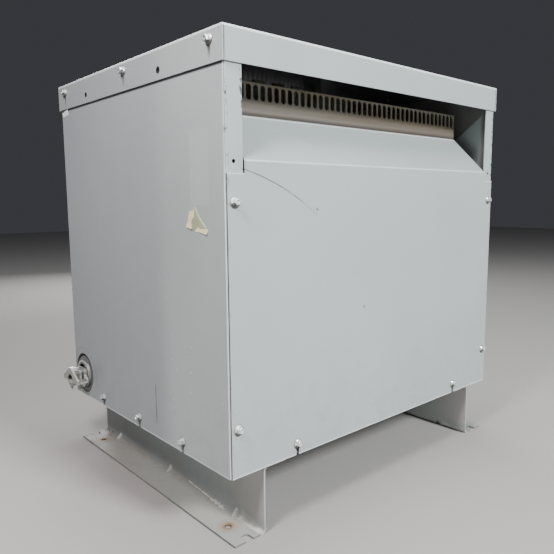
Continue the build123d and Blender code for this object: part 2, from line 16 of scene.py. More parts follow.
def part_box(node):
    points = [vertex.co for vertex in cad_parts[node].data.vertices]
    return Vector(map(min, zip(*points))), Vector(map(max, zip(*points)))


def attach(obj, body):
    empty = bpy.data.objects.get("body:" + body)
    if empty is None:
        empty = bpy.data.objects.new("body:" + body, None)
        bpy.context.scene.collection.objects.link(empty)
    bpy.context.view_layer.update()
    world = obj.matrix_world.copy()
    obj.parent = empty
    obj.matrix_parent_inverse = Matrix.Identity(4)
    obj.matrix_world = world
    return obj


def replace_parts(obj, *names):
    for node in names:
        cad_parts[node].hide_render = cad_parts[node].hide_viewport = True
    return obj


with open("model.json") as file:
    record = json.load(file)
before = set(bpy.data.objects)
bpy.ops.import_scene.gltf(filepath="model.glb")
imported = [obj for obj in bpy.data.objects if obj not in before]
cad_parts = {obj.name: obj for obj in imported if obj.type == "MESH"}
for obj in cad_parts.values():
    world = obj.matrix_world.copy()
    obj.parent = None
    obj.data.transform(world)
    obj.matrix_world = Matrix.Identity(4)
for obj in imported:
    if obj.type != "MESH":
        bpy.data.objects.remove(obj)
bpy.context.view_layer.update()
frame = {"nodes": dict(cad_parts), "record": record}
nodes = frame["nodes"]

# %% [markdown]
# ## Where the sheets are
# Everything added later sits on a face of the enclosure. The places are read from the CAD nodes, so nothing
# here has to be typed twice. The front faces -Y, +X is to the right, and lengths are metres.

# %% Faces of the enclosure
mm = 0.001


def tell(what, *lengths):
    """print lengths in millimetres"""
    print(what, *(round(length / mm, 1) for length in lengths))


panel_low, panel_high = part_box("front_panel")
lid_low, lid_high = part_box("lid")
front_face = panel_low.y
rear_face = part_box("rear_panel")[1].y
left_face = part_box("left_side_panel")[0].x
right_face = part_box("right_side_panel")[1].x
body_bottom = panel_low.z
body_corner_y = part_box("left_side_panel")[0].y
tell("front, left and bottom:", front_face, left_face, body_bottom)

# %% [markdown]
# ## Screw places
# Each panel has two screws a side and two in the slots along its bottom edge. The lid has three on each
# side, and each side panel three more at the bottom. Two lists of points, mirrored front to back and left
# to right, cover all twenty-four. They come first because the paint is dirty round every screw.

# %% Screw places
panel_screw_x = right_face - 13 * mm
panel_screw_z = (body_bottom + 63 * mm, panel_high.z - 157 * mm)
bottom_screw_z = body_bottom + 16 * mm
lid_screw_z = lid_high.z - 13.5 * mm
screw_pitch_y = 215.5 * mm
bottom_screw_x = (-191 * mm, 194 * mm)
side_screw_y = (-128.5 * mm, -4 * mm, 120.5 * mm)

panel_places = [
    Vector((side * panel_screw_x, front_face, height)) for side in (-1, 1) for height in panel_screw_z
]
panel_places += [Vector((across, front_face, bottom_screw_z)) for across in bottom_screw_x]
screw_places = [(place, (0, -1, 0)) for place in panel_places]
screw_places += [(Vector((-place.x, rear_face, place.z)), (0, 1, 0)) for place in panel_places]
for side, face, lid_face in ((-1, left_face, lid_low.x), (1, right_face, lid_high.x)):
    screw_places += [(Vector((face, along, bottom_screw_z)), (side, 0, 0)) for along in side_screw_y]
    screw_places += [
        (Vector((lid_face, step * screw_pitch_y, lid_screw_z)), (side, 0, 0)) for step in (-1, 0, 1)
    ]
print("screw places:", len(screw_places))

# %% [markdown]
# ## Helpers for finishes
# A painted sheet is never one colour. Each finish below is a node tree: a base colour, then thin layers of
# dust, stains and scratches laid over it by masks. The masks read Object coordinates, which here are the
# real places in metres, because every object sits at the origin.


# %% Helpers for finishes
def is_socket(value):
    """whether a value comes from another node"""
    return isinstance(value, bpy.types.NodeSocket)


def join(value, socket):
    """feed a socket from another node, or set it to a plain value"""
    if is_socket(value):
        socket.id_data.links.new(value, socket)
    else:
        socket.default_value = value


def new_node(kind, *values):
    """a node in the tree that the values come from, with them as its first inputs"""
    tree = next(value.id_data for value in values if is_socket(value))
    node = tree.nodes.new("ShaderNode" + kind)
    for value, socket in zip(values, node.inputs):
        join(value, socket)
    return node


def calc(operation, *values):
    """one step of arithmetic"""
    step = new_node("Math", *values)
    step.operation = operation
    return step.outputs[0]


def ramp(value, start, end, low=0.0, high=1.0):
    """a soft step from low to high while value goes from start to end"""
    step = new_node("MapRange", value, start, end, low, high)
    step.interpolation_type = "SMOOTHSTEP"
    return step.outputs[0]


def away_from(value, middle=0.0):
    """how far a value is from a middle, on either side"""
    return calc("ABSOLUTE", calc("SUBTRACT", value, middle))


def flat_place(across, up):
    """a place within one face, from its two coordinates there"""
    return new_node("CombineXYZ", across, up).outputs["Vector"]


def distance_to(where, point):
    """how far a place is from a point, which may be flat"""
    gap = new_node("VectorMath", where, point.to_3d())
    gap.operation = "DISTANCE"
    return gap.outputs["Value"]


def all_of(*masks):
    """where every mask holds"""
    return functools.reduce(lambda product, mask: calc("MULTIPLY", product, mask), masks)


def any_of(*masks):
    """where the strongest mask holds"""
    return functools.reduce(lambda strongest, mask: calc("MAXIMUM", strongest, mask), masks)


def strip(value, low, high, soft):
    """one between low and high, with soft ends"""
    return all_of(ramp(value, low - soft, low), ramp(value, high + soft, high))


def blotches(where, size, detail=3.0, roughness=0.55, stretch=(1, 1, 1)):
    """cloudy noise whose blotches are about size metres across"""
    place = new_node("Mapping", where)
    place.inputs["Scale"].default_value = stretch
    noise = new_node("TexNoise", place.outputs["Vector"])
    noise.inputs["Scale"].default_value = 1 / size
    noise.inputs["Detail"].default_value = detail
    noise.inputs["Roughness"].default_value = roughness
    return noise.outputs["Fac"]


def flecks(where, spacing, radius, share, dimensions="3D"):
    """round flecks about spacing apart, of which only a share is kept"""
    cells = new_node("TexVoronoi", where)
    cells.voronoi_dimensions = dimensions
    cells.inputs["Scale"].default_value = 1 / spacing
    parts = new_node("SeparateColor", cells.outputs["Color"])
    kept = calc("LESS_THAN", parts.outputs[0], share)
    size = calc("MULTIPLY_ADD", parts.outputs[1], radius / spacing, 0.3 * radius / spacing)
    return all_of(kept, ramp(cells.outputs["Distance"], size, calc("MULTIPLY", size, 0.6)))


def layer(mask, under, over, strength=1.0):
    """lay one colour over another by a mask, at a strength"""
    amount = calc("MULTIPLY", mask, strength)
    mix = new_node("Mix", amount)
    mix.data_type = "RGBA"
    for colour, name in ((under, "A"), (over, "B")):
        socket = next(s for s in mix.inputs if s.name == name and s.type == "RGBA")
        join(colour if is_socket(colour) else (*colour, 1.0), socket)
    return next(s for s in mix.outputs if s.type == "RGBA")


def set_surface(shader, colour, dullness, metallic, *bumps):
    """give a shader its colour, roughness and share of metal, and stack bumps, each a height and a depth"""
    join(colour, shader.inputs["Base Color"])
    join(dullness, shader.inputs["Roughness"])
    shader.inputs["Metallic"].default_value = metallic
    normal = None
    for height, depth in bumps:
        bump = shader.id_data.nodes.new("ShaderNodeBump")
        bump.inputs["Distance"].default_value = depth
        join(height, bump.inputs["Height"])
        if normal:
            join(normal, bump.inputs["Normal"])
        normal = bump.outputs["Normal"]
    join(normal, shader.inputs["Normal"])


finishes = {}


def new_finish(name):
    """start a finish: its shader, the place on the object and that place's X, Y and Z"""
    finishes[name] = bpy.data.materials.new(name)
    finishes[name].use_nodes = True
    tree = finishes[name].node_tree
    where = tree.nodes.new("ShaderNodeTexCoord").outputs["Object"]
    return tree.nodes["Principled BSDF"], where, new_node("SeparateXYZ", where).outputs


print("helpers ready")

# %% [markdown]
# ## Light grey powder coat
# Powder coat is baked plastic: an even light grey with a faint orange-peel skin and a satin gloss. Ours has
# stood in a yard and is marked all over. Painting an image of it would fix its size in pixels, so each mark
# is a mask worked out from its real place instead. The coat comes first: two shades in slow clouds, and
# some dirt low down.

# %% Grey paint
paint_grey = (0.465, 0.535, 0.535)
paint_shade = (0.42, 0.485, 0.485)
dust_tan = (0.30, 0.265, 0.22)
dirt_top = body_bottom + 200 * mm

shader, where, (x, y, z) = new_finish("grey_paint")
away_x = away_from(x)
away_y = away_from(y)
on_front = ramp(y, body_corner_y + 2 * mm, body_corner_y)
on_left = ramp(x, left_face + 2 * mm, left_face + 0.5 * mm)
cloud = blotches(where, 350 * mm, detail=4.0)
colour = layer(ramp(cloud, 0.35, 0.7), paint_grey, paint_shade)
grime = blotches(where, 30 * mm, detail=5.0, roughness=0.65)
low_dirt = all_of(ramp(z, dirt_top, body_bottom), ramp(grime, 0.45, 0.75, 0.0, 0.25))
colour = layer(low_dirt, colour, dust_tan)
tell("dirt up to", dirt_top)

# %% [markdown]
# ### Ghost of a label and painted shade
# A label once kept the light off a patch of the left side, and the paint there is paler. Further back the
# paint of that side is made darker, more so towards the floor: painted shade. Neither has a thickness to
# see, so both are soft-edged rectangles in the paint.

# %% Ghost and painted shade
paint_fresh = (0.56, 0.61, 0.60)
left_shade_grey = (0.31, 0.345, 0.365)
label_y = (-206 * mm, -166 * mm)
label_z = (437 * mm, 529 * mm)
left_shade_y = (-115 * mm, -65 * mm)
left_shade_z = (450 * mm, 140 * mm)

label_ghost = all_of(on_left, strip(y, *label_y, 0.6 * mm), strip(z, *label_z, 0.6 * mm))
colour = layer(label_ghost, colour, paint_fresh, 0.3)
# painted shade: the left side made darker towards the rear and the floor
left_side_shade = all_of(on_left, ramp(y, *left_shade_y), ramp(z, *left_shade_z, 0.35, 0.85))
colour = layer(left_side_shade, colour, left_shade_grey)
tell("label ghost:", *label_y, *label_z)

# %% [markdown]
# ### Scratch and rub
# A long curved scratch crosses the front, and something has rubbed an upright line low on the left side. A
# scratch could be a thin tube, but that would stand proud of the paint. This one is part of a circle, so
# its mask is how far a point is from that circle. The rub's is how far it is from a line, and noise breaks
# up both.

# %% Scratch and rub
scratch_blue = (0.13, 0.17, 0.22)
bare_metal = (0.055, 0.055, 0.06)
scratch_centre = Vector((-359.7, 138.6)) * mm
scratch_radius = 350 * mm
scratch_width = 1.8 * mm
scratch_x = (-276 * mm, -158 * mm)
scratch_fade = (-190 * mm, -176 * mm)
rub_y = -58.5 * mm
rub_z = (122 * mm, 172 * mm)

off_arc = away_from(distance_to(flat_place(x, z), scratch_centre), scratch_radius)
broken = ramp(blotches(where, 20 * mm, detail=2.0), 0.3, 0.5, 0.6, 1.0)
scratch = all_of(
    on_front,
    broken,
    ramp(off_arc, 0.6 * scratch_width, 0.3 * scratch_width),
    strip(x, *scratch_x, 6 * mm),
    ramp(x, *scratch_fade, 0.9, 0.35),
)
colour = layer(scratch, colour, scratch_blue)
off_rub = away_from(y, rub_y)
rub = all_of(on_left, broken, ramp(off_rub, 1.4 * mm, 0.5 * mm), strip(z, *rub_z, 8 * mm))
colour = layer(rub, colour, bare_metal, 0.9)
tell("scratch and rub:", *scratch_x, *rub_z)

# %% [markdown]
# ### Dirt and shade where no cloth reaches
# Rain runs off the lid's screws and leaves dark drips. Every screw keeps a ring of dirt round its washer, set
# a little low so that it is also painted shade below the head, and the strip under the lid is painted black
# as the lid's shadow. The rings are distances from the very places that the screws get later, so they always
# line up, and the drips are noise stretched downwards in a narrow strip under each lid screw.

# %% Drips, screw rings and lid shadow
stain_and_shade_brown = (0.05, 0.04, 0.035)
gap_shade_black = (0.02, 0.022, 0.027)
drip_width = 4.2 * mm
drip_length = 26 * mm
screw_ring_radius = 8.4 * mm
shade_drop = Vector((0, 0, 0.7 * mm))

beside_screw = away_from(calc("WRAP", y, -screw_pitch_y / 2, screw_pitch_y / 2))
drip_noise = blotches(where, 4 * mm, detail=3.0, stretch=(1, 1, 0.12))
drips = all_of(
    ramp(away_x, right_face + 0.3 * mm, right_face + 1.2 * mm),
    ramp(beside_screw, drip_width, drip_width / 3),
    ramp(z, lid_screw_z - drip_length, lid_screw_z - 6 * mm),
    ramp(z, lid_screw_z + 1 * mm, lid_screw_z),
    ramp(drip_noise, 0.25, 0.45, 0.45, 0.9),
)
# screw rings: dirt, and painted shade below each head
off_screws = [distance_to(where, place - shade_drop) for place, outward in screw_places]
screw_dirt_and_shade = [ramp(off, screw_ring_radius, screw_ring_radius - 1.4 * mm, 0.0, 0.75) for off in off_screws]
colour = layer(any_of(drips, *screw_dirt_and_shade), colour, stain_and_shade_brown)
# painted shadow under the lid's flange
lid_shadow = all_of(
    strip(away_x, right_face - 0.6 * mm, right_face + 0.1 * mm, 0.1 * mm),
    ramp(z, lid_low.z - 4.5 * mm, lid_low.z - 2.2 * mm, 0.0, 0.95),
)
colour = layer(lid_shadow, colour, gap_shade_black)
print("dirt rings:", len(screw_dirt_and_shade))

# %% [markdown]
# ### Chips on the folds
# Paint is thinnest on a fold and chips there first: along the front corners below the lid, more of it
# higher up, and on the inner edge of the left post. The chips are the peaks of one fine noise, kept only
# where a fold is.

# %% Chips
post_chip_x = (-281.2 * mm, -277.4 * mm)
post_chip_z = (542 * mm, 592 * mm)

chip_noise = blotches(where, 5 * mm, detail=4.0, roughness=0.7, stretch=(1, 1, 0.45))
on_front_fold = ramp(y, body_corner_y + 2.6 * mm, body_corner_y + 1.2 * mm)
corner_chips = all_of(
    on_front_fold,
    strip(away_x, right_face - 5.2 * mm, right_face - 1.2 * mm, 1.5 * mm),
    ramp(z, lid_low.z + 1 * mm, lid_low.z),
    ramp(z, 420 * mm, 500 * mm, 0.2, 1.0),
    ramp(chip_noise, 0.56, 0.585),
)
post_chips = all_of(
    on_front_fold,
    strip(x, *post_chip_x, 0.8 * mm),
    strip(z, *post_chip_z, 4 * mm),
    ramp(chip_noise, 0.48, 0.51),
)
chips = any_of(corner_chips, post_chips)
colour = layer(chips, colour, bare_metal, 0.9)
tell("chips below", lid_low.z)

# %% [markdown]
# ### Flecks
# Pale specks have dried low on the left side, most of them in one upright band, and a few dark ones lie
# anywhere. They are the centres of Voronoi cells with most of them thrown away. The pale ones use flat
# cells, since few centres of solid cells would lie in the sheet.

# %% Flecks
fleck_white = (0.74, 0.80, 0.77)
fleck_band_y = (-160 * mm, -115 * mm)

side_place = flat_place(y, z)
side_flecks = all_of(
    on_left,
    flecks(side_place, 12 * mm, 1.5 * mm, 0.14, dimensions="2D"),
    ramp(z, 420 * mm, 300 * mm),
    ramp(strip(y, *fleck_band_y, 20 * mm), 0.0, 1.0, 0.35, 1.0),
)
colour = layer(side_flecks, colour, fleck_white, 0.8)
colour = layer(flecks(where, 40 * mm, 0.9 * mm, 0.12), colour, stain_and_shade_brown, 0.55)
tell("fleck band:", *fleck_band_y)

# %% [markdown]
# ### Dents and the cable entry
# Two small dents on the front are dark spots, each a distance from its own centre. The knockout round the
# cable was never painted on its cut edge and is made darker, its rim gap is painted dark as shade, and a
# faint round print shows where a larger washer once sat. Those three are distances from one centre.

# %% Dents and the cable entry
dent_places = [Vector((across * mm, front_face, up * mm)) for across, up in ((-153.9, 429.4), (-54.4, 284.2))]
entry_dark = (0.17, 0.165, 0.16)
print_radius = 47.5 * mm
ring_low, ring_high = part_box("knockout_ring")
ring_centre = (ring_low + ring_high) / 2
ring_radius = (ring_high.z - ring_low.z) / 2

dents = any_of(*(ramp(distance_to(where, dent), 2.8 * mm, 1.6 * mm) for dent in dent_places))
colour = layer(dents, colour, scratch_blue, 0.8)
off_entry = distance_to(where, Vector((left_face, ring_centre.y, ring_centre.z)))
near_left = ramp(x, left_face + 12 * mm, left_face + 8 * mm)
# the knockout is made darker
knockout_darkening = ramp(off_entry, ring_radius + 2.4 * mm, ring_radius + 1.0 * mm, 0.0, 0.7)
colour = layer(all_of(near_left, knockout_darkening), colour, entry_dark)
# painted shade in the gap round the knockout
rim_gap_shade = ramp(away_from(off_entry, ring_radius), 1.5 * mm, 0.8 * mm, 0.0, 0.9)
colour = layer(all_of(near_left, rim_gap_shade), colour, gap_shade_black)
washer_print = ramp(away_from(off_entry, print_radius), 1.2 * mm, 0.3 * mm, 0.0, 0.3)
colour = layer(all_of(on_left, washer_print, broken), colour, stain_and_shade_brown)
tell("cable entry radius:", ring_radius)

# %% [markdown]
# ### Seams and holes
# A seam between two sheets is dark because no light gets in, and dirt makes it darker. The gap beside the
# front panel, the pan seen through the slots under the bottom screws and the two empty lid holes are
# painted dark in place: painted shade, since little light gets into them either.

# %% Seams and holes
ear_top = body_bottom + 379 * mm
ear_edge_x = panel_high.x
pan_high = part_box("base_pan")[1]
pan_walls = ((away_x, pan_high.x), (away_y, pan_high.y))
spare_holes = ((Vector((-98, 612.5)) * mm, 5.2 * mm), (Vector((131, 612.5)) * mm, 4.4 * mm))

seam = all_of(
    strip(away_x, ear_edge_x - 0.1 * mm, ear_edge_x + 1.1 * mm, 0.3 * mm),
    strip(away_y, -body_corner_y - 0.7 * mm, -body_corner_y + 0.6 * mm, 0.3 * mm),
    ramp(z, ear_top + 1 * mm, ear_top),
)
on_pan = any_of(*(strip(away, wall - 0.1 * mm, wall + 0.1 * mm, 0.1 * mm) for away, wall in pan_walls))
shade_behind_slots = all_of(on_pan, ramp(z, pan_high.z + 2 * mm, pan_high.z))
shade_in_holes = any_of(
    *(ramp(distance_to(side_place, centre), radius, 0.85 * radius) for centre, radius in spare_holes),
)
shade_in_holes = all_of(shade_in_holes, ramp(away_x, 300 * mm, 302 * mm))
# painted shade in the seam, behind the slots and in the empty holes
colour = layer(any_of(seam, shade_behind_slots, shade_in_holes), colour, gap_shade_black, 0.95)
tell("seams up to", ear_top)

# %% [markdown]
# ### Shade round the air outlet
# Above the slope the side sheets show their inner faces, painted a brown shade down to a slanting line where
# the lid's shadow ends and in the corner behind the post, and the lid's underside is painted nearly black as
# shade. Studio lamps reach further in than daylight does, so the paint itself is made darker there. The
# slant is height less a share of the distance from the middle.

# %% Outlet shade
shade_brown = (0.075, 0.05, 0.04)
shade_black = (0.05, 0.05, 0.055)
slant = -0.75
slant_height = (430.5 * mm, 433.5 * mm)
behind_post_y = (210 * mm, 222 * mm)

# painted shadow of the lid on the inner walls, above a slanting line
above_slant = ramp(calc("MULTIPLY_ADD", away_y, slant, z), *slant_height, 0.15, 0.72)
inner_wall = all_of(
    strip(away_x, right_face - 1.9 * mm, right_face - 1.3 * mm, 0.1 * mm),
    any_of(above_slant, ramp(away_y, *behind_post_y, 0.0, 0.8)),
    ramp(z, ear_top, ear_top + 10 * mm),
)
colour = layer(inner_wall, colour, shade_brown)
under_lid = strip(z, lid_high.z - 1.9 * mm, lid_high.z - 1.4 * mm, 0.2 * mm)
colour = layer(under_lid, colour, shade_black, 0.85)
tell("shade above", ear_top)

# %% [markdown]
# ### Painted highlights on folds and edges
# A folded edge is a little round, so some lamp always lights it, and paint is thin and pale on a sheared
# one. The CAD edges are sharp and catch nothing, so pale lines are painted along them instead as highlights:
# the tops of the panel's ears, both bends of the slope, the corners, the bottom edge and the lid's rim.

# %% Painted edge highlights
highlight_white = (0.82, 0.92, 0.95)
bend_height = ear_top + 15.5 * mm
slope_top = panel_high.z - 44.4 * mm
post_edge_x = 276.5 * mm
lid_wall_y = 239 * mm

ear_edge = all_of(
    ramp(y, front_face + 1.2 * mm, front_face + 0.6 * mm),
    strip(z, ear_top - 1.1 * mm, ear_top, 0.2 * mm),
    strip(away_x, post_edge_x, ear_edge_x, 0.3 * mm),
)
front_bend = all_of(
    ramp(away_y, -front_face - 1.6 * mm, -front_face - 1.1 * mm),
    ramp(away_x, ear_edge_x - 26 * mm, ear_edge_x - 27 * mm),
    ramp(away_from(z, bend_height), 1.5 * mm, 0.5 * mm, 0.0, 0.55),
)
top_bend = all_of(
    ramp(away_x, ear_edge_x, ear_edge_x - 1 * mm),
    ramp(away_y, 200 * mm, 180 * mm),
    ramp(away_from(z, slope_top - 1.2 * mm), 1.6 * mm, 0.8 * mm, 0.0, 0.7),
)
corner_bend = all_of(
    ramp(away_x, right_face - 2.2 * mm, right_face - 1.2 * mm),
    ramp(away_x, right_face + 0.5 * mm, right_face + 0.2 * mm),
    ramp(away_y, -body_corner_y - 2.2 * mm, -body_corner_y - 1.2 * mm),
    ramp(z, ear_top + 20 * mm, ear_top - 20 * mm, 0.15, 0.6),
)
on_skin = any_of(
    ramp(away_x, right_face - 0.6 * mm, right_face - 0.2 * mm),
    ramp(away_y, -front_face - 0.6 * mm, -front_face - 0.2 * mm),
)
bottom_edge = all_of(on_skin, ramp(z, body_bottom + 2.2 * mm, body_bottom + 1.2 * mm, 0.0, 0.7))
on_lid_wall = any_of(
    ramp(away_x, right_face, right_face + 1 * mm), ramp(away_y, lid_wall_y, lid_wall_y + 1 * mm)
)
lid_bend = ramp(z, lid_high.z - 4.2 * mm, lid_high.z - 2.8 * mm)
lid_edge = all_of(lid_bend, on_lid_wall)
ear_edge = calc("MULTIPLY", ear_edge, 0.8)
edge_highlights = any_of(ear_edge, front_bend, top_bend, corner_bend, bottom_edge, lid_edge)
# painted highlights along the folds and edges
colour = layer(edge_highlights, colour, highlight_white)
tell("bends at", bend_height, slope_top)

# %% [markdown]
# ### Dust and painted shade on the vent strip
# The slotted strips stand back in the shade of the lid, and warm air carries dust through their slots. A
# tan layer gives both the dust and a painted shade with a brown reflection, held to the strip's own place
# in depth. Painted shade darkens the strip's foot and a soft band above it.

# %% Vent dust and painted shade
vent_dust_and_shade = (0.215, 0.165, 0.11)
strip_face = panel_high.y

at_strip = all_of(
    ramp(away_y, -strip_face + 3.2 * mm, -strip_face + 2.4 * mm),
    ramp(away_y, -strip_face - 1.5 * mm, -strip_face - 0.5 * mm),
    ramp(z, slope_top - 1 * mm, slope_top + 1.5 * mm),
    ramp(z, panel_high.z + 1 * mm, panel_high.z + 0.5 * mm),
    ramp(away_x, post_edge_x + 1 * mm, post_edge_x),
)
streaks = blotches(where, 50 * mm, detail=3.0, stretch=(0.15, 1, 2.5))
# dust, painted shade and a painted brown reflection on the strip
colour = layer(all_of(at_strip, ramp(streaks, 0.3, 0.7, 0.72, 0.95)), colour, vent_dust_and_shade)
# painted shade at the strip's foot and in a band above it
strip_foot_shade = ramp(z, slope_top + 8 * mm, slope_top + 2 * mm, 0.0, 0.95)
colour = layer(all_of(at_strip, strip_foot_shade), colour, stain_and_shade_brown)
strip_band_shade = strip(z, slope_top + 5 * mm, slope_top + 10 * mm, 6 * mm)
colour = layer(all_of(at_strip, strip_band_shade), colour, stain_and_shade_brown, 0.3)
tell("vent strip at", strip_face)

# %% [markdown]
# ### Gloss and relief
# The coat is a satin one with a clear skin, glossier on the lid's rim and quite dull where dust lies. The
# relief has three depths: slow waves in the thin sheet, the orange-peel skin, and the marks that are sunk
# into the paint.

# %% Gloss and relief
rim_gloss = ramp(lid_bend, 0.0, 1.0, 1.0, 0.45)
dullness = calc("MULTIPLY", ramp(grime, 0.3, 0.8, 0.36, 0.5), rim_gloss)
dusty = calc("MULTIPLY", at_strip, 0.75)
shader.inputs["Coat Weight"].default_value = 0.3
shader.inputs["Coat Roughness"].default_value = 0.14
waves = blotches(where, 220 * mm, detail=1.0)
peel = blotches(where, 1.6 * mm, detail=1.0)
sunk = calc("MULTIPLY", any_of(scratch, chips, rub, dents), -1.0)
bumps = ((waves, 1.2 * mm), (peel, 0.03 * mm), (sunk, 0.12 * mm))
set_surface(shader, colour, calc("MAXIMUM", dullness, dusty), 0.0, *bumps)
print("grey paint nodes:", len(shader.id_data.nodes))

# %% [markdown]
# ## Paint on the feet
# The feet have the same coat, but they stand in the wet. Dirt settles along the inside of the bend, dust on
# the flange and mud near the ground, and the rear of the web is painted darker as shade. Dirt follows the
# shape that it lies on, so soft steps along the plate's own directions place it, and one fine noise breaks it
# up.

# %% Foot paint
foot_grey = (0.42, 0.435, 0.41)
foot_dirt = (0.13, 0.12, 0.11)
flange_tan = (0.33, 0.32, 0.27)
rear_shade_grey = (0.19, 0.205, 0.21)
foot_low, foot_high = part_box("left_foot")
web_x = 249.5 * mm

shader, where, (x, y, z) = new_finish("foot_paint")
away_x = away_from(x)
away_y = away_from(y)
on_flange = ramp(z, 8 * mm, 4 * mm)
cloud = blotches(where, 120 * mm, detail=4.0)
colour = layer(ramp(cloud, 0.35, 0.7), foot_grey, paint_shade)
fine = blotches(where, 12 * mm, detail=5.0, roughness=0.7)
in_bend = all_of(
    ramp(away_from(away_x, web_x + 7 * mm), 11 * mm, 1 * mm),
    ramp(z, 12 * mm, 3 * mm),
    ramp(fine, 0.35, 0.65, 0.05, 0.22),
)
colour = layer(in_bend, colour, foot_dirt)
flange_dust = all_of(on_flange, ramp(y, -160 * mm, -60 * mm, 0.25, 0.5))
colour = layer(flange_dust, colour, flange_tan)
# painted shade: the rear of the web made darker
rear_web_shade = all_of(ramp(y, -130 * mm, 180 * mm, 0.0, 0.5), ramp(z, 8 * mm, 16 * mm))
colour = layer(rear_web_shade, colour, rear_shade_grey)
mud = all_of(ramp(fine, 0.55, 0.7), ramp(z, 40 * mm, 0.0, 0.0, 0.3))
colour = layer(mud, colour, dust_tan)
tell("foot web at", web_x)

# %% [markdown]
# ### Pale darts and rust rings
# The pressed darts have a pale crust, and water held under bolt heads has left rust round the holes, wide
# and pale with a brown rim. The feet and their holes are mirrored, so distances from the middle need only
# one hole's centre for all four rings. Noise makes each ring uneven.

# %% Darts and rust
crust_white = (0.80, 0.86, 0.74)
rust_brown = (0.20, 0.105, 0.05)
rust_pale = (0.36, 0.27, 0.14)
hole_centre = Vector((277.4, 194)) * mm
dart_pitch = foot_high.y - 59.5 * mm

off_dart = away_from(calc("WRAP", y, -dart_pitch / 2, dart_pitch / 2))
on_dart = all_of(
    ramp(off_dart, 4.5 * mm, 1.5 * mm),
    strip(z, 4.5 * mm, 17 * mm, 1 * mm),
    strip(away_x, web_x + 1.5 * mm, web_x + 13 * mm, 1 * mm),
    ramp(fine, 0.35, 0.55, 0.25, 0.9),
)
colour = layer(on_dart, colour, crust_white)
off_hole = distance_to(flat_place(away_x, away_y), hole_centre)
uneven = calc("MULTIPLY_ADD", fine, 14 * mm, off_hole)
ring = all_of(on_flange, ramp(uneven, 29 * mm, 14 * mm))
colour = layer(ring, colour, rust_pale, 0.6)
colour = layer(all_of(ring, ramp(uneven, 16 * mm, 12 * mm, 0.0, 0.65)), colour, rust_brown)
rear_rust = all_of(on_flange, ramp(y, 165 * mm, 215 * mm), ramp(fine, 0.54, 0.66, 0.0, 0.6))
colour = layer(rear_rust, colour, rust_brown)
tell("dart pitch:", dart_pitch)

# %% [markdown]
# ### Crust along the bend
# A pale crust has dried along the left foot's bend, thickest near the front dart. In front of that dart a
# pale fan is painted where light falls on the bend, a painted highlight, with a streak below it. The bend is
# round, so one number that grows from the flange round the bend and up the web places all three, and noise
# gives the crust its lumpy width.

# %% Crust
highlight_pale = (0.64, 0.68, 0.62)
crust_y = (-152 * mm, -56 * mm)
streak_y = (-234 * mm, -182 * mm)
fan_y = (-236 * mm, -189 * mm)

on_left_foot = ramp(x, 0.0, -100 * mm)
up_the_bend = calc("SUBTRACT", calc("SUBTRACT", z, 3 * mm), calc("SUBTRACT", away_x, web_x))
crust_line = calc("MULTIPLY_ADD", y, 0.075, 6 * mm)
lumps = blotches(where, 8 * mm, detail=4.0, roughness=0.7)
thickness = ramp(y, -90 * mm, -150 * mm, 2.0 * mm, 7.5 * mm)
crust_width = all_of(ramp(lumps, 0.38, 0.66, 0.1, 1.0), thickness)
off_crust = away_from(up_the_bend, crust_line)
crust = all_of(
    on_left_foot,
    ramp(off_crust, crust_width, calc("MULTIPLY", crust_width, 0.6)),
    strip(y, *crust_y, 6 * mm),
)
streak = all_of(
    on_left_foot,
    ramp(away_from(up_the_bend, -3 * mm), 6 * mm, 2 * mm),
    strip(y, *streak_y, 6 * mm),
    ramp(fine, 0.38, 0.6, 0.1, 0.55),
)
above_fan = calc("SUBTRACT", up_the_bend, calc("MULTIPLY_ADD", y, 0.224, 54.4 * mm))
# painted highlight where light falls on the bend in front of the dart
fan_highlight = all_of(
    ramp(above_fan, 1.5 * mm, -1.5 * mm),
    ramp(up_the_bend, -11 * mm, -5 * mm),
    strip(y, *fan_y, 4 * mm),
    ramp(fine, 0.35, 0.6, 0.25, 0.6),
)
colour = layer(fan_highlight, colour, highlight_pale)
colour = layer(any_of(calc("MULTIPLY", crust, 0.92), streak), colour, crust_white)
tell("crust along", *crust_y)

# %% [markdown]
# ### Cut edges and the front end
# The plate's lower rim is painted dark where it meets the floor, a painted shadow, and the front of the web
# is painted paler and a little warmer, a painted sheen. A shear cuts the first part of a plate clean and
# tears the rest, so the inner third of the end face is dull.

# %% Cut edges
under_shade_black = (0.05, 0.05, 0.045)
sheen_pale = (0.60, 0.57, 0.57)

# painted shadow along the rim where the plate meets the floor
floor_shadow_rim = all_of(ramp(z, 2.9 * mm, 2.6 * mm), ramp(away_x, web_x + 5 * mm, web_x + 8 * mm))
colour = layer(floor_shadow_rim, colour, under_shade_black, 0.5)
# painted sheen: the front of the web made paler and warmer
front_web_sheen = all_of(ramp(y, -160 * mm, -220 * mm, 0.0, 0.6), ramp(z, 12 * mm, 24 * mm))
colour = layer(front_web_sheen, colour, sheen_pale)
sheared = all_of(
    ramp(y, foot_low.y + 0.4 * mm, foot_low.y + 0.2 * mm),
    ramp(away_x, web_x - 1.7 * mm, web_x - 2.1 * mm),
    ramp(z, 6 * mm, 9 * mm),
)
colour = layer(sheared, colour, foot_dirt, 0.8)
skin = blotches(where, 1.6 * mm, detail=1.0)
bumps = ((skin, 0.05 * mm), (ring, 0.15 * mm), (crust, 0.8 * mm))
set_surface(shader, colour, ramp(fine, 0.3, 0.7, 0.42, 0.68), 0.0, *bumps)
print("foot paint nodes:", len(shader.id_data.nodes))

# %% [markdown]
# ## Finishes inside
# Through the slots and the open base the core shows: thin steel sheets stacked front to back, painted
# clamps, and coils wound in varnished paper. Lines this fine are a wave texture, since real sheets would
# cost millions of faces and still be too thin to see one by one.

# %% More helpers for finishes
wave_length = 0.314


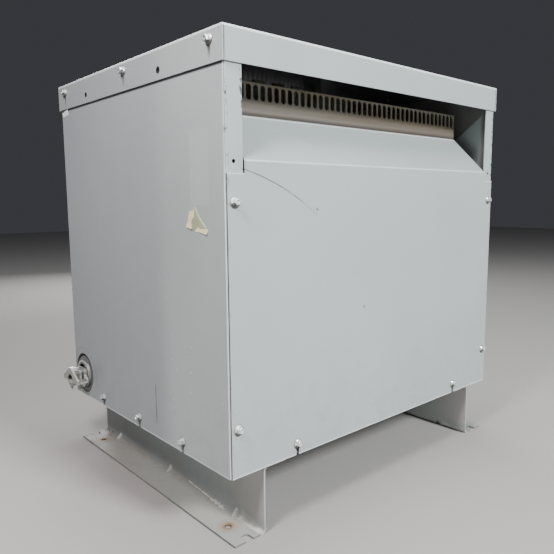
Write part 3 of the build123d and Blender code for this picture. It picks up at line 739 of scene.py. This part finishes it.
def lines(where, axis, pitch):
    """fine lines across one axis, with a given pitch"""
    wave = new_node("TexWave", where)
    wave.bands_direction = axis
    wave.inputs["Scale"].default_value = wave_length / pitch
    wave.inputs["Distortion"].default_value = 0.6
    wave.inputs["Detail"].default_value = 2.0
    return wave.outputs["Fac"]


def looks_down(shader):
    """one on faces that look at the ground"""
    normal = shader.id_data.nodes.new("ShaderNodeNewGeometry").outputs["Normal"]
    return ramp(new_node("SeparateXYZ", normal).outputs["Z"], -0.02, -0.4)


def plain_finish(name, dark, light, size, rough, depth, metallic=0.0, line_axis=None, pitch=1.0 * mm):
    """a finish with two mottled shades, fine relief and, where asked, fine parallel lines"""
    shader, where = new_finish(name)[:2]
    mottle = blotches(where, size, detail=5.0, roughness=0.65)
    shade = ramp(mottle, 0.3, 0.7)
    bumps = [(mottle, depth)]
    if line_axis:
        stack = lines(where, line_axis, pitch)
        shade = calc("MULTIPLY", shade, ramp(stack, 0.05, 0.5, 0.35, 1.0))
        bumps.insert(0, (stack, depth))
    dullness = ramp(mottle, 0.3, 0.7, rough - 0.08, rough + 0.1)
    set_surface(shader, layer(shade, dark, light), dullness, metallic, *bumps)


print("more helpers ready")

# %% Finishes inside
sheet_pitch = 1.2 * mm
inner_wire_pitch = 7 * mm
outer_wire_pitch = 5 * mm

inside = {
    "core_steel": (
        (0.03, 0.03, 0.032), (0.085, 0.088, 0.092), 30 * mm, 0.45, 0.12 * mm, 0.6, "Y", sheet_pitch
    ),
    "clamp_paint": ((0.05, 0.055, 0.06), (0.10, 0.11, 0.12), 40 * mm, 0.5, 0.05 * mm),
    "pad_rubber": ((0.012, 0.012, 0.013), (0.03, 0.03, 0.03), 10 * mm, 0.8, 0.1 * mm),
    "inner_winding": (
        (0.115, 0.062, 0.028), (0.30, 0.20, 0.105), 30 * mm, 0.42, 0.25 * mm, 0.0, "Z", inner_wire_pitch
    ),
    "outer_winding": (
        (0.075, 0.038, 0.016), (0.21, 0.125, 0.06), 40 * mm, 0.36, 0.25 * mm, 0.0, "Z", outer_wire_pitch
    ),
    "insulation": ((0.07, 0.05, 0.03), (0.14, 0.10, 0.06), 20 * mm, 0.55, 0.06 * mm),
}
for name, look in inside.items():
    plain_finish(name, *look)
print("inside finishes:", sorted(inside))

# %% [markdown]
# ## Bars, plated steel and cast zinc
# Metals take their colour mostly from what they reflect, so roughness matters more than hue. The terminal
# bars have dulled, and the middle one is browned by varnish. They show only through the slots, so two tones
# are enough.

# %% Terminal bars
shader, where, (x, y, z) = new_finish("bar_metal")
varnish_brown = (0.09, 0.05, 0.035)
middle_bar_x = (-118 * mm, -84 * mm)

mottle = blotches(where, 15 * mm, detail=4.0)
colour = layer(ramp(mottle, 0.3, 0.7), (0.10, 0.098, 0.085), (0.17, 0.165, 0.15))
colour = layer(strip(x, *middle_bar_x, 2 * mm), colour, varnish_brown, 0.85)
set_surface(shader, colour, ramp(mottle, 0.3, 0.7, 0.4, 0.6), 0.7, (mottle, 0.05 * mm))
print("bar metal nodes:", len(shader.id_data.nodes))

# %% [markdown]
# ### Zinc plate
# Zinc plate is bright but patchy. It covers the screws and the two reducing washers round the cable, and
# the washers have dulled except for a rim that stands proud, which is left bright as a painted highlight.
# Their bore is painted black round the connector as shade in the gap. Each ring is a distance from the
# washers' centre, and the undersides of the screws are painted dark as shade and a reflection of the ground.

# %% Zinc plate
washer_dull = (0.20, 0.205, 0.21)
washer_low, washer_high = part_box("outer_reducing_washer")
washer_centre = (washer_low + washer_high) / 2
hub_centre = Vector((washer_centre.y, washer_centre.z - 5.35 * mm))

shader, where, (x, y, z) = new_finish("zinc_plate")
mottle = blotches(where, 6 * mm, detail=4.0)
colour = layer(ramp(mottle, 0.3, 0.7), (0.74, 0.80, 0.79), (0.88, 0.94, 0.92))
side_place = flat_place(y, z)
off_centre = distance_to(side_place, washer_centre.yz)
off_hub = distance_to(side_place, hub_centre)
on_washer = all_of(
    ramp(x, washer_low.x - 1.2 * mm, washer_low.x - 0.6 * mm), ramp(x, -200 * mm, -250 * mm)
)
# painted highlight on the washer's raised rim
rim_highlight = strip(off_centre, 22.6 * mm, 24.4 * mm, 0.5 * mm)
dull = all_of(
    on_washer, ramp(off_centre, 28 * mm, 27 * mm), ramp(rim_highlight, 1.0, 0.0, 0.0, 0.8)
)
colour = layer(dull, colour, washer_dull)
# painted shade in the gap round the connector
bore_gap_shade = all_of(on_washer, ramp(off_hub, 20.6 * mm, 19.4 * mm, 0.0, 0.9))
colour = layer(bore_gap_shade, colour, gap_shade_black)
# painted shade and reflection of the ground on faces that look down
colour = layer(looks_down(shader), colour, under_shade_black, 0.85)
dullness = calc("MAXIMUM", ramp(mottle, 0.3, 0.7, 0.2, 0.34), calc("MULTIPLY", on_washer, 0.5))
set_surface(shader, colour, dullness, 0.6, (mottle, 0.006 * mm))
tell("washers centred at", *washer_centre)

# %% [markdown]
# ### Cast zinc
# Die-cast zinc is duller than plate, with a skin like fine sand. The end of the body, the pockets beside
# the saddle, the bore and every underside lie in shade, and they are painted darker one by one: painted
# shade.

# %% Cast zinc
end_shade_grey = (0.24, 0.25, 0.24)
pocket_shade_grey = (0.12, 0.12, 0.11)
under_shade_grey = (0.10, 0.10, 0.09)
body_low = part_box("connector_body")[0]
strap_low, strap_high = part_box("connector_strap")
saddle_x = (strap_low.x + strap_high.x) / 2

shader, where, (x, y, z) = new_finish("cast_zinc")
mottle = blotches(where, 3.5 * mm, detail=5.0, roughness=0.65)
colour = layer(ramp(mottle, 0.35, 0.65), (0.56, 0.60, 0.54), (0.94, 0.98, 0.91))
# painted shade on the end of the body
colour = layer(ramp(x, body_low.x + 0.9 * mm, body_low.x + 0.3 * mm), colour, end_shade_grey, 0.65)
in_pocket = all_of(
    strip(x, saddle_x - 6.3 * mm, saddle_x + 6.3 * mm, 0.4 * mm),
    ramp(away_from(y, hub_centre.x), 8 * mm, 10 * mm),
    ramp(z, strap_low.z + 0.9 * mm, strap_low.z + 1.5 * mm),
)
# painted shade in the pockets beside the saddle
colour = layer(in_pocket, colour, pocket_shade_grey, 0.65)
nearer = calc("SUBTRACT", hub_centre.x, y)
higher = calc("SUBTRACT", z, hub_centre.y)
bore_shade = ramp(calc("MULTIPLY_ADD", nearer, 0.7, higher), -11 * mm, -6 * mm, 0.35, 1.0)
off_hub = distance_to(flat_place(y, z), hub_centre)
in_bore = all_of(ramp(off_hub, 9.7 * mm, 9.3 * mm), bore_shade)
# painted shade in the bore
colour = layer(in_bore, colour, gap_shade_black)
# painted shade on faces that look down
colour = layer(looks_down(shader), colour, under_shade_grey, 0.6)
set_surface(shader, colour, ramp(mottle, 0.3, 0.7, 0.26, 0.45), 0.3, (mottle, 0.05 * mm))
print("cast zinc nodes:", len(shader.id_data.nodes))

# %% [markdown]
# ### Paper, glue and tape
# The scraps of an old label need yellowed paper, a film of dried glue and white tape. They are small, so
# the plain two-shade finish serves. Then every CAD node is given the finish that its entry in the record
# names.

# %% Paper, glue and tape
scraps = {
    "label_paper": ((0.78, 0.78, 0.44), (0.96, 0.97, 0.66), 6 * mm, 0.75, 0.05 * mm),
    "old_glue": ((0.36, 0.40, 0.27), (0.48, 0.53, 0.36), 8 * mm, 0.4, 0.04 * mm),
    "white_tape": ((0.84, 0.90, 0.88), (0.93, 0.98, 0.96), 10 * mm, 0.5, 0.02 * mm),
}
for name, look in scraps.items():
    plain_finish(name, *look)
print("finishes:", sorted(finishes))

# %% Finishes on the CAD nodes
for entry in frame["record"]["subparts"]:
    node = nodes[entry["node"]]
    node.data.materials.clear()
    node.data.materials.append(finishes[entry["material_slot"]])

# %% [markdown]
# ## Helpers for pieces
# A new piece starts as a bmesh, Blender's mesh with modelling tools as functions. Then it becomes an object
# at the origin, gets smooth shading that breaks at real edges, and is told which body it rides on and which
# finish it has.

# %% Helpers for pieces
sharp_angle = math.radians(32)


def as_mesh(shape, name):
    """turn a bmesh into a mesh"""
    mesh = bpy.data.meshes.new(name)
    shape.to_mesh(mesh)
    shape.free()
    print(name, "faces:", len(mesh.polygons))
    return mesh


def put_in_scene(data, name):
    """an object that shows a mesh, a lamp or a camera"""
    thing = bpy.data.objects.new(name, data)
    bpy.context.scene.collection.objects.link(thing)
    return thing


def make_piece(shape, name, finish):
    """turn a bmesh into a finished piece of the transformer"""
    bmesh.ops.recalc_face_normals(shape, faces=shape.faces)
    mesh = as_mesh(shape, name)
    mesh.shade_smooth()
    mesh.set_sharp_from_angle(angle=sharp_angle)
    mesh.materials.append(finishes[finish])
    piece = put_in_scene(mesh, name)
    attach(piece, "root")
    return piece


def turned(shape, outline, steps=32):
    """spin an outline of (radius, height) points round Z into a closed turned part"""
    corners = [shape.verts.new((radius, 0, height)) for radius, height in outline]
    edges = [shape.edges.new(pair) for pair in zip(corners, corners[1:])]
    bmesh.ops.spin(
        shape, geom=corners + edges, angle=math.tau, steps=steps, axis=(0, 0, 1), cent=(0, 0, 0),
        use_merge=True,
    )
    bmesh.ops.remove_doubles(shape, verts=shape.verts, dist=1e-6)


def add_hexagon(shape, radius, low, high, edge):
    """a hexagon head or nut along Z, its upper edge rounded"""
    made = bmesh.ops.create_cone(
        shape,
        cap_ends=True,
        segments=6,
        radius1=radius,
        radius2=0.97 * radius,
        depth=high - low,
        matrix=Matrix.Translation((0, 0, (high + low) / 2)),
    )
    sides = {face for vert in made["verts"] for face in vert.link_faces}
    top = max(sides, key=lambda face: face.calc_center_median().z)
    rim = list(top.edges)
    bmesh.ops.bevel(shape, geom=rim, offset=edge, segments=3, profile=0.5, affect="EDGES", material=-1)


def stamp(shape, pattern, place):
    """add a copy of a mesh to a bmesh, moved to its place"""
    known = len(shape.verts)
    shape.from_mesh(pattern)
    shape.verts.ensure_lookup_table()
    bmesh.ops.transform(shape, matrix=place, verts=shape.verts[known:])


def facing(direction, point, turn=0.0):
    """a place at point whose Z looks along direction, turned about it"""
    aim = Vector(direction).to_track_quat("Z", "Y").to_matrix().to_4x4()
    return Matrix.Translation(point) @ aim @ Matrix.Rotation(turn, 4, "Z")


print("piece helpers ready")

# %% [markdown]
# ## Washer-head screws
# The sheets are held by hexagon screws with the washer forged on as a low cone, in zinc plate. A lathe
# shape is quickest by spinning half its outline, so the washer and shank are turned, and the hexagon is a
# six-sided cone with its top edge bevelled and a shallow dish pressed in. One screw is modelled and stamped
# at every place, each turned by a different angle, as a driver would leave them.

# %% One screw
washer_radius = 6.6 * mm
washer_thickness = 2.0 * mm
hex_radius = 4.7 * mm
head_height = 6.4 * mm
shank_radius = 2.3 * mm
shank_length = 9 * mm

screw = bmesh.new()
turned(
    screw,
    [
        (0, -shank_length),
        (0.5 * shank_radius, -shank_length),
        (shank_radius, -shank_length + 2 * mm),
        (shank_radius, 0),
        (0.97 * washer_radius, 0),
        (washer_radius, 0.15 * washer_thickness),
        (0.96 * washer_radius, 0.3 * washer_thickness),
        (0.7 * washer_radius, washer_thickness),
        (0, washer_thickness),
    ],
)
add_hexagon(screw, hex_radius, 0.8 * washer_thickness, head_height, 0.9 * mm)
top = max(screw.faces, key=lambda face: (round(face.calc_center_median().z, 6), face.calc_area()))
bmesh.ops.inset_individual(screw, faces=[top], thickness=1.1 * mm, depth=0.0)
bmesh.ops.inset_individual(screw, faces=[top], thickness=0.5 * mm, depth=-0.7 * mm)
screw_mesh = as_mesh(screw, "washer_head_screw")

# %% Screws in their places
all_screws = bmesh.new()
for count, (place, outward) in enumerate(screw_places):
    stamp(all_screws, screw_mesh, facing(outward, place, turn=count * 0.7))
make_piece(all_screws, "enclosure_screws", "zinc_plate")
print("screws:", len(screw_places))

# %% [markdown]
# ## Cable connector
# The connector's two castings have the right form already, but every edge in the CAD model is razor sharp,
# and a cast edge never is. Each casting is copied, its loose triangles are merged into one skin, flat faces
# are joined, and then its sharp edges are bevelled. The copy stands for the CAD node, which stays hidden.

# %% The two castings
casting_edge = 0.5 * mm


def soft_edged(node, name):
    """a casting from a CAD node, with its sharp edges rounded"""
    shape = bmesh.new()
    shape.from_mesh(nodes[node].data)
    bmesh.ops.remove_doubles(shape, verts=shape.verts, dist=2e-6)
    bmesh.ops.dissolve_limit(shape, angle_limit=math.radians(2), verts=shape.verts, edges=shape.edges)
    sharp = [edge for edge in shape.edges if edge.is_manifold and edge.calc_face_angle() > math.radians(40)]
    bmesh.ops.bevel(
        shape,
        geom=sharp,
        offset=casting_edge,
        segments=2,
        profile=0.5,
        affect="EDGES",
        material=-1,
        clamp_overlap=True,
    )
    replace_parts(make_piece(shape, name, "cast_zinc"), node)


soft_edged("connector_body", "connector_casting")
soft_edged("connector_strap", "connector_saddle")

# %% [markdown]
# ### Clamp screws
# The saddle is held by two long machine screws with slotted hexagon heads. A thread is a helix, but at this
# size nobody can tell it from a stack of rings, and rings can be turned with the rest of the shank. The
# slot comes from two half heads with a gap, over a thinner hexagon that is the slot's floor.

# %% One clamp screw
screws_low, screws_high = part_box("connector_screws")
clamp_head_radius = (screws_high.x - screws_low.x) / 2
clamp_head_height = 4.8 * mm
head_step = 8 * mm
clamp_shank = (screws_high.z - screws_low.z) - head_step - clamp_head_height
thread_radius = 2.5 * mm
thread_root = 2.0 * mm
thread_pitch = 1.06 * mm
slot_width = 1.3 * mm
slot_depth = 1.9 * mm

half_head = bmesh.new()
add_hexagon(half_head, clamp_head_radius, 0, clamp_head_height, 0.8 * mm)
bmesh.ops.bisect_plane(
    half_head,
    geom=half_head.verts[:] + half_head.edges[:] + half_head.faces[:],
    plane_co=(0, slot_width / 2, 0),
    plane_no=(0, 1, 0),
    clear_inner=True,
)
bmesh.ops.holes_fill(half_head, edges=[edge for edge in half_head.edges if edge.is_boundary])
half_head_mesh = as_mesh(half_head, "half_head")

clamp_screw = bmesh.new()
rings = int(0.85 * clamp_shank / thread_pitch)
thread = [(0, -clamp_shank), (thread_root, -clamp_shank)]
for count in range(rings):
    ring_height = -clamp_shank + (count + 0.5) * thread_pitch
    thread += [(thread_radius, ring_height), (thread_root, ring_height + thread_pitch / 2)]
thread += [(thread_radius, thread[-1][1] + thread_pitch), (thread_radius, 0.2 * mm), (0, 0.2 * mm)]
turned(clamp_screw, thread, steps=16)
add_hexagon(clamp_screw, 0.98 * clamp_head_radius, 0, clamp_head_height - slot_depth, 0.1 * mm)
for turn in (0, math.pi):
    stamp(clamp_screw, half_head_mesh, Matrix.Rotation(turn, 4, "Z"))
clamp_screw_mesh = as_mesh(clamp_screw, "clamp_screw")

# %% Both clamp screws
head_flat = clamp_head_radius * math.cos(math.radians(30))
clamp_x = (screws_low.x + screws_high.x) / 2
head_base = screws_high.z - clamp_head_height
both_screws = bmesh.new()
clamp_places = ((screws_low.y + head_flat, head_base), (screws_high.y - head_flat, head_base - head_step))
for along, height in clamp_places:
    stamp(both_screws, clamp_screw_mesh, Matrix.Translation((clamp_x, along, height)))
clamp_screws = make_piece(both_screws, "clamp_screws", "zinc_plate")
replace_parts(clamp_screws, "connector_screws")

# %% [markdown]
# ## Bolts inside
# Through bolts press the channel clamps against the yokes, and one bolt holds each terminal bar to its
# board. They show only through the slots and the open base, so one plain bolt and one nut are stamped
# everywhere.

# %% One bolt and one nut
bolt_washer = [(0, 0), (10.5 * mm, 0), (10.5 * mm, 1.8 * mm), (0, 1.8 * mm)]
bolt_end = [(0, 9 * mm), (5 * mm, 9 * mm), (5 * mm, 15 * mm), (4.2 * mm, 16 * mm), (0, 16 * mm)]
bolt_hex_radius = 9.8 * mm


def bolt_part(name, height, shank_end=()):
    """a washer under a hexagon of some height, and the shank's end where it stands out"""
    part = bmesh.new()
    turned(part, bolt_washer, steps=24)
    add_hexagon(part, bolt_hex_radius, 1.7 * mm, height, 0.8 * mm)
    if shank_end:
        turned(part, shank_end, steps=16)
    return as_mesh(part, name)


bolt_mesh = bolt_part("core_bolt_head", 8.3 * mm)
nut_mesh = bolt_part("core_nut", 10 * mm, bolt_end)

# %% Core bolts
clamp_web = 5 * mm
bolts_x = [across * mm for across in (-205, -90, 90, 205)]
core_bolts = bmesh.new()
for level in ("bottom", "top"):
    front_low, front_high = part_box("core_clamp_" + level + "_front")
    rear_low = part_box("core_clamp_" + level + "_rear")[0]
    height = (front_low.z + front_high.z) / 2
    for across in bolts_x:
        stamp(core_bolts, bolt_mesh, facing((0, -1, 0), (across, front_high.y - clamp_web, height)))
        stamp(core_bolts, nut_mesh, facing((0, 1, 0), (across, rear_low.y + clamp_web, height)))
make_piece(core_bolts, "core_bolts", "zinc_plate")

# %% Terminal bolts
terminal_drop = 52 * mm
terminal_size = Matrix.Diagonal((0.75, 0.75, 0.75, 1))
terminal_bolts = bmesh.new()
for name in ("left", "middle", "right"):
    bar_low, bar_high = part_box("terminal_bar_" + name)
    place = Vector(((bar_low.x + bar_high.x) / 2, bar_low.y, bar_high.z - terminal_drop))
    stamp(terminal_bolts, bolt_mesh, facing((0, -1, 0), place) @ terminal_size)
make_piece(terminal_bolts, "terminal_bolts", "zinc_plate")

# %% [markdown]
# ## Scraps of an old label
# A paper label was torn off the left side. What is left is a film of glue, two beige scraps that curl away
# at their lower edges, and a thin torn line. Further up, a piece of white tape sticks out from under the
# lid. A scrap is one face drawn round its outline. Its edges are divided with a fractal, which tears them,
# and the sheet is then laid on the panel and lifted where it curls.


# %% Torn paper
def torn_sheet(
    name, outline, tear, finish="label_paper", gap=0.4 * mm, thickness=0.15 * mm, curl=0.0, curl_from=0.0
):
    """a scrap on the left side from (y, z) corners in millimetres; it curls away below a height"""
    scrap = bmesh.new()
    scrap.faces.new([scrap.verts.new((0, along * mm, height * mm)) for along, height in outline])
    bmesh.ops.subdivide_edges(scrap, edges=scrap.edges[:], cuts=5, fractal=tear, seed=len(outline))
    bmesh.ops.triangulate(scrap, faces=scrap.faces[:])
    bmesh.ops.subdivide_edges(scrap, edges=scrap.edges[:], cuts=1)
    for vert in scrap.verts:
        below = max(0.0, curl_from * mm - vert.co.z)
        vert.co.x = left_face - gap - curl * below * below / (10 * mm)
    bmesh.ops.recalc_face_normals(scrap, faces=scrap.faces)
    bmesh.ops.solidify(scrap, geom=scrap.faces[:], thickness=thickness)
    make_piece(scrap, name, finish)


print("torn sheet helper ready")

# %% Scraps and tape
torn_sheet(
    "label_glue",
    [(-174.3, 432.9), (-165.3, 414.3), (-171.6, 404.1), (-193.2, 402.3), (-197.3, 409.3)],
    0.3,
    "old_glue",
    gap=0.15 * mm,
    thickness=0.1 * mm,
)
torn_sheet(
    "label_scrap_left",
    [
        (-174.4, 438.0), (-172.2, 430.3), (-161.3, 428.8), (-157.2, 417.2), (-153.3, 408.8),
        (-165.6, 406.4), (-168.3, 406.6), (-165.3, 414.3), (-167.6, 418.8), (-172.5, 422.3),
        (-173.7, 427.0),
    ],
    0.8,
    curl=0.25,
    curl_from=415.0,
)
torn_sheet(
    "label_scrap_low",
    [
        (-174.3, 404.0), (-180.5, 409.2), (-185.6, 407.2), (-193.4, 407.0), (-198.5, 407.9),
        (-203.6, 407.0), (-200.8, 400.4), (-190.0, 402.2),
    ],
    0.5,
    curl=0.5,
    curl_from=406.0,
)
torn_sheet(
    "label_torn_line",
    [
        (-174.0, 437.0), (-181.2, 426.0), (-189.9, 417.4), (-198.4, 410.8), (-198.6, 408.2),
        (-189.9, 414.6), (-181.6, 422.6), (-175.4, 432.0),
    ],
    0.2,
    thickness=0.12 * mm,
)
torn_sheet(
    "tape_under_lid",
    [(236.5, 595.6), (211.8, 599.6), (209.3, 590.1), (230.4, 587.6), (234.3, 590.5)],
    0.15,
    "white_tape",
    gap=0.3 * mm,
    curl=0.2,
    curl_from=592.0,
)

# %% [markdown]
# ## Studio
# A plain pale floor and five soft lamps. The photograph has one broad source high in front, which throws
# the lid's shadow across the slope, so the key lamp stands there. A side lamp and a small corner lamp near
# the left side lighten that side and its front edge, the top lamp fills from overhead, and the back lamp
# draws the rear edges.

# %% Floor
floor_size = 8
floor_grey = (0.43, 0.425, 0.41, 1)

floor_shape = bmesh.new()
bmesh.ops.create_grid(floor_shape, x_segments=1, y_segments=1, size=floor_size)
floor = put_in_scene(as_mesh(floor_shape, "studio_floor"), "studio_floor")
shader = new_finish("studio_floor")[0]
shader.inputs["Base Color"].default_value = floor_grey
shader.inputs["Roughness"].default_value = 0.8
floor.data.materials.append(finishes["studio_floor"])
print("floor:", 2 * floor_size, "metres")

# %% Air and lamps
air_blue = (0.80, 0.82, 0.94, 1)
air_strength = 0.055
aim_point = Vector((0, 0, 0.32))

world = bpy.data.worlds.new("studio_air")
world.use_nodes = True
air = world.node_tree.nodes["Background"]
air.inputs["Color"].default_value = air_blue
air.inputs["Strength"].default_value = air_strength
bpy.context.scene.world = world


def soft_lamp(name, offset, size, power, tint=(1, 1, 1)):
    """a square lamp that looks at the middle of the transformer"""
    lamp = bpy.data.lights.new(name, "AREA")
    lamp.size = size
    lamp.energy = power
    lamp.color = tint
    holder = put_in_scene(lamp, name)
    holder.location = aim_point + Vector(offset)
    holder.rotation_euler = (-Vector(offset)).to_track_quat("-Z", "Y").to_euler()
    holder.visible_camera = False
    print(name, power, "watts")


soft_lamp("key_lamp", Vector((0.08, -0.9, 0.52)) * 3.2, 0.6, 142)
soft_lamp("side_lamp", (-2.1, -1.0, 1.3), 1.2, 3, (1.0, 0.90, 0.90))
soft_lamp("corner_lamp", (-0.95, -0.42, 0.85), 0.25, 15, (1.0, 0.89, 0.90))
soft_lamp("top_lamp", (0.2, 0.3, 2.6), 1.3, 42)
soft_lamp("back_lamp", (0.9, 2.3, 0.9), 1.2, 28)

# %% [markdown]
# ## Camera
# The photograph was taken from the front left, from below the lid's height. The camera's place and lens
# were worked out from the straight edges of the enclosure, so the render lines up with the photograph.

# %% Camera
camera_place = Vector((-707.0, -788.4, 441.4)) * mm
yaw = 0.71985
pitch = 0.13207
roll = -0.00784
sensor_width = 36
focal_length = 37.346

heading = Matrix.Rotation(-yaw, 4, "Z")
tilt = Matrix.Rotation(math.pi / 2 - pitch, 4, "X") @ Matrix.Rotation(roll, 4, "Z")
lens = bpy.data.cameras.new("photo_camera")
lens.sensor_width = sensor_width
lens.lens = focal_length
lens.clip_start = 0.01
camera = put_in_scene(lens, "photo_camera")
camera.matrix_world = Matrix.Translation(camera_place) @ heading @ tilt
bpy.context.scene.camera = camera
tell("camera at", *camera.location)
